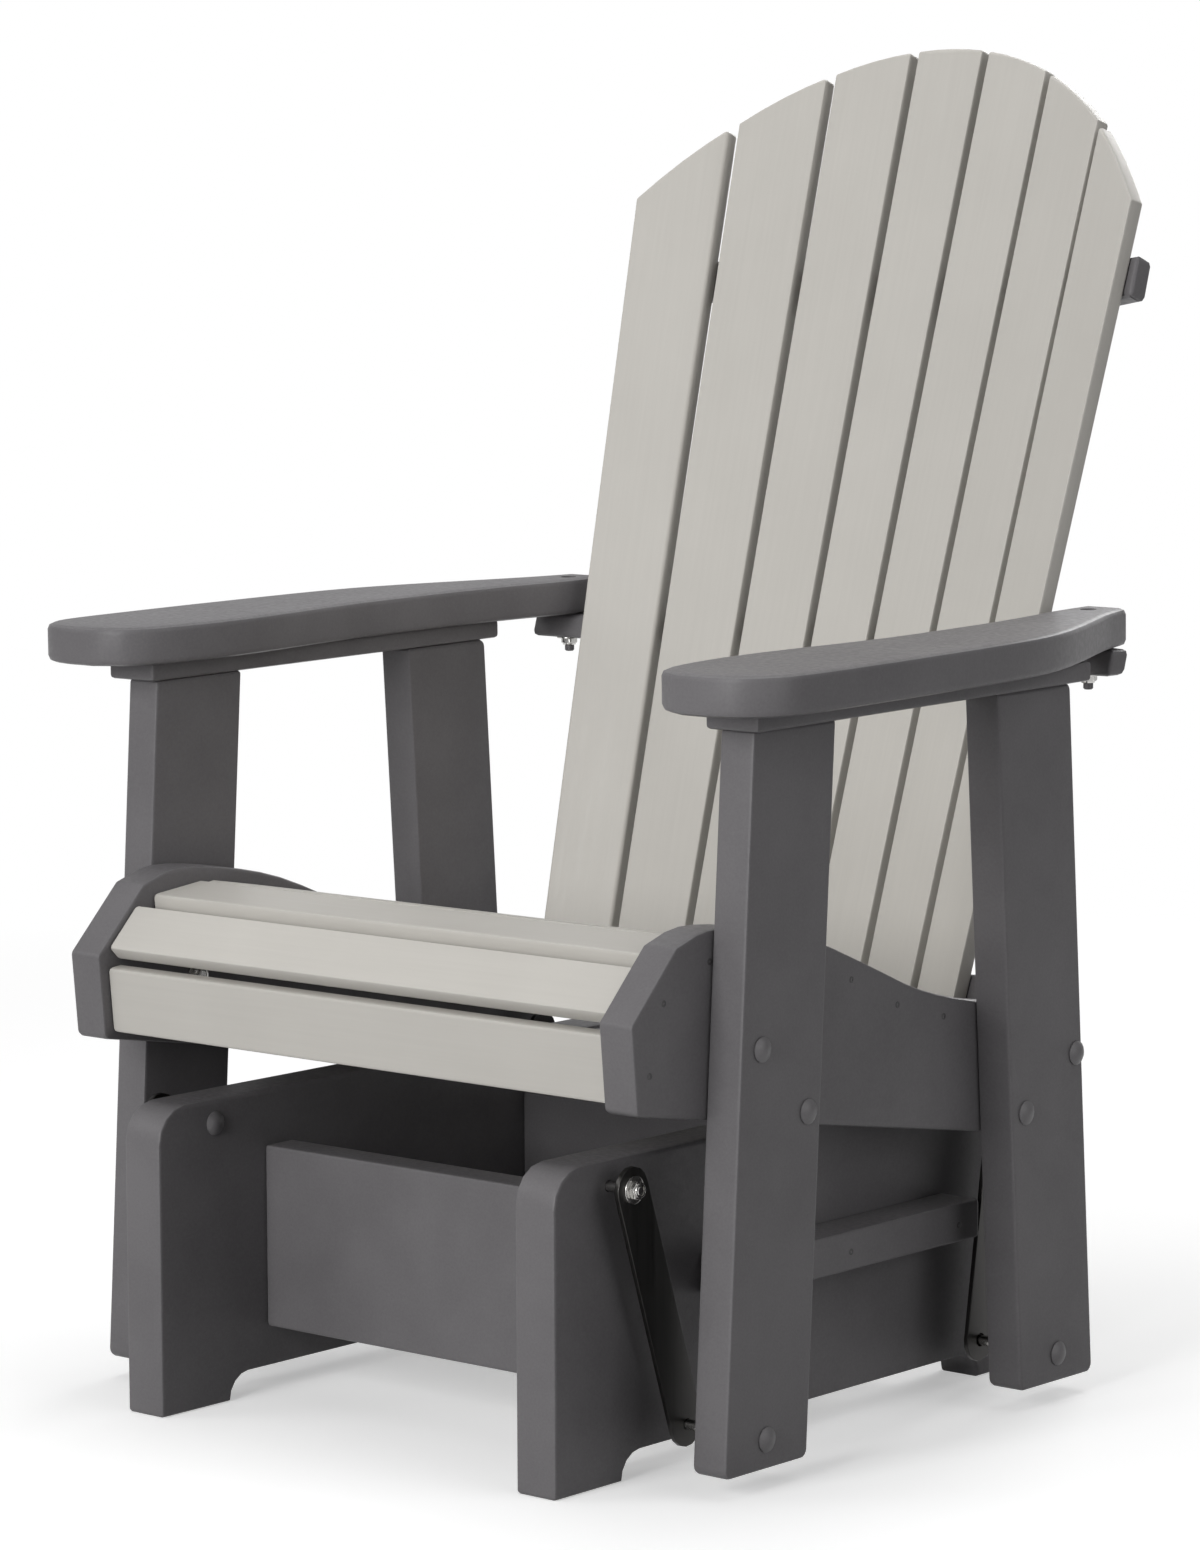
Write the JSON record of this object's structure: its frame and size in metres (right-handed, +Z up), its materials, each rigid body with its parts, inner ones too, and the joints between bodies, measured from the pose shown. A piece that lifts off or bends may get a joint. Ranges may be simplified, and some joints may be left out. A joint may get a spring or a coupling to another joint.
{
  "type": "glider chair",
  "caption": "Slatted outdoor chair with a fan-shaped back and broad armrests, whose seat frame hangs on swinging steel bars from a fixed base.",
  "frame": {"origin": "centre of the chair's bounding box, on the floor under the base", "axes": "+X to the sitter's left, +Y to the rear, +Z up"},
  "size_m": [0.7512, 0.7788, 1.0538],
  "materials": {
    "dark_board": "solid poly lumber with a fine pebbled skin, dark grey",
    "light_board": "solid poly lumber with a faint grain, warm light grey",
    "stainless_bar": "flat stainless bar, drawn finish",
    "stainless_bolt": "stainless fastener, plain"
  },
  "bodies": {
    "base": {"base_side_left": "dark_board", "base_side_right": "dark_board", "base_front_panel": "dark_board", "base_rear_panel": "dark_board", "stop_strip_left": "dark_board", "stop_strip_right": "dark_board", "upper_pivot_bolt_front_left": "stainless_bolt", "upper_pivot_bolt_front_right": "stainless_bolt", "upper_pivot_bolt_rear_left": "stainless_bolt", "upper_pivot_bolt_rear_right": "stainless_bolt"},
    "front_arms": {"swing_arm_front_left": "stainless_bar", "swing_arm_front_right": "stainless_bar"},
    "rear_arms": {"swing_arm_rear_left": "stainless_bar", "swing_arm_rear_right": "stainless_bar"},
    "seat_frame": {"lower_pivot_bolt_front_left": "stainless_bolt", "lower_pivot_bolt_front_right": "stainless_bolt", "lower_pivot_bolt_rear_left": "stainless_bolt", "lower_pivot_bolt_rear_right": "stainless_bolt", "seat_side_left": "dark_board", "seat_side_right": "dark_board", "front_leg_left": "dark_board", "front_leg_right": "dark_board", "rear_leg_left": "dark_board", "rear_leg_right": "dark_board", "leg_bolt_front_1_left": "stainless_bolt", "leg_bolt_front_1_right": "stainless_bolt", "leg_bolt_front_2_left": "stainless_bolt", "leg_bolt_front_2_right": "stainless_bolt", "leg_bolt_rear_1_left": "stainless_bolt", "leg_bolt_rear_1_right": "stainless_bolt", "leg_bolt_rear_2_left": "stainless_bolt", "leg_bolt_rear_2_right": "stainless_bolt", "seat_fascia": "light_board", "seat_nose_slat": "light_board", "seat_slat_1": "light_board", "seat_slat_2": "light_board", "seat_slat_3": "light_board", "seat_slat_4": "light_board", "seat_slat_5": "light_board", "seat_slat_6": "light_board", "seat_slat_7": "light_board", "arm_rail_left": "dark_board", "arm_rail_right": "dark_board", "armrest_left": "dark_board", "armrest_right": "dark_board", "armrest_bolt_left": "stainless_bolt", "armrest_bolt_right": "stainless_bolt", "back_slat_1": "light_board", "back_slat_2": "light_board", "back_slat_3": "light_board", "back_slat_4": "light_board", "back_slat_5": "light_board", "back_slat_6": "light_board", "back_slat_7": "light_board", "back_rail_lower": "dark_board", "back_rail_middle": "dark_board", "back_rail_upper": "dark_board"}
  },
  "joints": [
    {"name": "front_arm_swing", "type": "hinge", "parent": "base", "child": "front_arms", "pos_m": [0, -0.32851, 0.22279], "axis": [1, 0, 0], "range_deg": [-8.9, 7.5]},
    {"name": "rear_arm_swing", "type": "hinge", "parent": "base", "child": "rear_arms", "pos_m": [0, 0.1246, 0.23016], "axis": [1, 0, 0], "range_deg": [-8.7, 7.3]},
    {"name": "seat_tilt", "type": "hinge", "parent": "front_arms", "child": "seat_frame", "pos_m": [0, -0.26791, 0.0385], "axis": [1, 0, 0], "range_deg": [-9.4, 11.1]}
  ],
  "couplings": [
    {"joint": "rear_arm_swing", "follows": "front_arm_swing", "ratio": 0.9663},
    {"joint": "seat_tilt", "follows": "front_arm_swing", "ratio": -1.2453}
  ]
}
